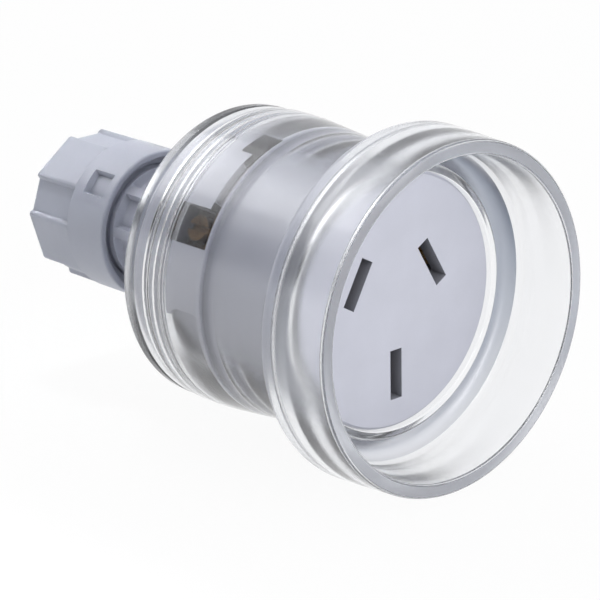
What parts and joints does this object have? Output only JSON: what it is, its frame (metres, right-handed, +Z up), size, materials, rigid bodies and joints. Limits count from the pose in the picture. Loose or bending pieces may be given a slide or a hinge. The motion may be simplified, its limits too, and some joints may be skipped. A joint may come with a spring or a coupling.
{
  "type": "rewirable in-line extension socket",
  "caption": "Clear rewirable in-line socket with a deep shroud, a grey three-slot insert, a screw-on rear cap and a grey cable gland with a lobed nut.",
  "frame": {"origin": "centre of the socket's face, between the three slots, flush with the face", "axes": "-Y out of the socket's face towards the plug, +Y along the body to the cable gland, +Z up with the earth slot at the bottom, +X to the right seen from behind the plug"},
  "size_m": [0.0492, 0.077, 0.0492],
  "materials": {
    "clear_shell": "polished clear moulding",
    "grey_insert": "smooth satin moulding",
    "grey_gland": "satin nylon moulding",
    "grey_stem": "satin nylon moulding, darker than the nut",
    "brass_strip": "rolled strip",
    "brass_block": "sawn and drilled bar",
    "brass_screw": "turned",
    "plated_steel": "bright zinc plate",
    "seal_rubber": "soft matt rubber",
    "white_washer": "natural nylon"
  },
  "bodies": {
    "root": {"front_shell": "clear_shell", "socket_insert": "grey_insert", "terminal_carrier": "grey_insert", "insert_back_plate": "grey_insert", "back_plate_screw": "plated_steel", "active_contact": "brass_strip", "active_terminal_block": "brass_block", "neutral_contact": "brass_strip", "neutral_terminal_block": "brass_block", "earth_contact": "brass_strip", "earth_terminal_block": "brass_block"},
    "stem": {"gland_stem": "grey_stem", "cable_seal": "seal_rubber", "grip_collet": "grey_stem"},
    "cap": {"rear_cap": "clear_shell"},
    "washer": {"thrust_washer": "white_washer"},
    "nut": {"gland_nut": "grey_gland"},
    "active_clamp": {"active_wire_clamp": "brass_strip"},
    "active_screw": {"active_terminal_screw": "brass_screw"},
    "neutral_clamp": {"neutral_wire_clamp": "brass_strip"},
    "neutral_screw": {"neutral_terminal_screw": "brass_screw"},
    "earth_clamp": {"earth_wire_clamp": "brass_strip"},
    "earth_screw": {"earth_terminal_screw": "brass_screw"}
  },
  "joints": [
    {"name": "cap_travel", "type": "slide", "parent": "root", "child": "stem", "axis": [0, 1, 0], "range_m": [0, 0.004]},
    {"name": "cap_turn", "type": "hinge", "parent": "stem", "child": "cap", "pos_m": [0, 0.035, 0], "axis": [0, 1, 0], "range_deg": [0, 720.5]},
    {"name": "nut_travel", "type": "slide", "parent": "stem", "child": "washer", "axis": [0, 1, 0], "range_m": [0, 0.006]},
    {"name": "nut_turn", "type": "hinge", "parent": "washer", "child": "nut", "pos_m": [0, 0.057, 0], "axis": [0, 1, 0], "range_deg": [0, 1440.5]},
    {"name": "active_clamp_travel", "type": "slide", "parent": "root", "child": "active_clamp", "axis": [-0.866, 0, -0.5], "range_m": [0, 0.0024]},
    {"name": "active_screw_turn", "type": "hinge", "parent": "active_clamp", "child": "active_screw", "pos_m": [0.01342, 0.02225, 0.00775], "axis": [-0.866, 0, -0.5], "range_deg": [0, 1440.5]},
    {"name": "neutral_clamp_travel", "type": "slide", "parent": "root", "child": "neutral_clamp", "axis": [0.866, 0, -0.5], "range_m": [0, 0.0024]},
    {"name": "neutral_screw_turn", "type": "hinge", "parent": "neutral_clamp", "child": "neutral_screw", "pos_m": [-0.01342, 0.02225, 0.00775], "axis": [0.866, 0, -0.5], "range_deg": [0, 1440.5]},
    {"name": "earth_clamp_travel", "type": "slide", "parent": "root", "child": "earth_clamp", "axis": [0, 0, 1], "range_m": [0, 0.0024]},
    {"name": "earth_screw_turn", "type": "hinge", "parent": "earth_clamp", "child": "earth_screw", "pos_m": [0, 0.02225, -0.0155], "axis": [0, 0, 1], "range_deg": [0, 1440.5]}
  ],
  "couplings": [
    {"joint": "cap_turn", "follows": "cap_travel", "rad_per_m": 3141.6},
    {"joint": "nut_turn", "follows": "nut_travel", "rad_per_m": 4188.8},
    {"joint": "active_screw_turn", "follows": "active_clamp_travel", "rad_per_m": 10472},
    {"joint": "neutral_screw_turn", "follows": "neutral_clamp_travel", "rad_per_m": 10472},
    {"joint": "earth_screw_turn", "follows": "earth_clamp_travel", "rad_per_m": 10472}
  ]
}
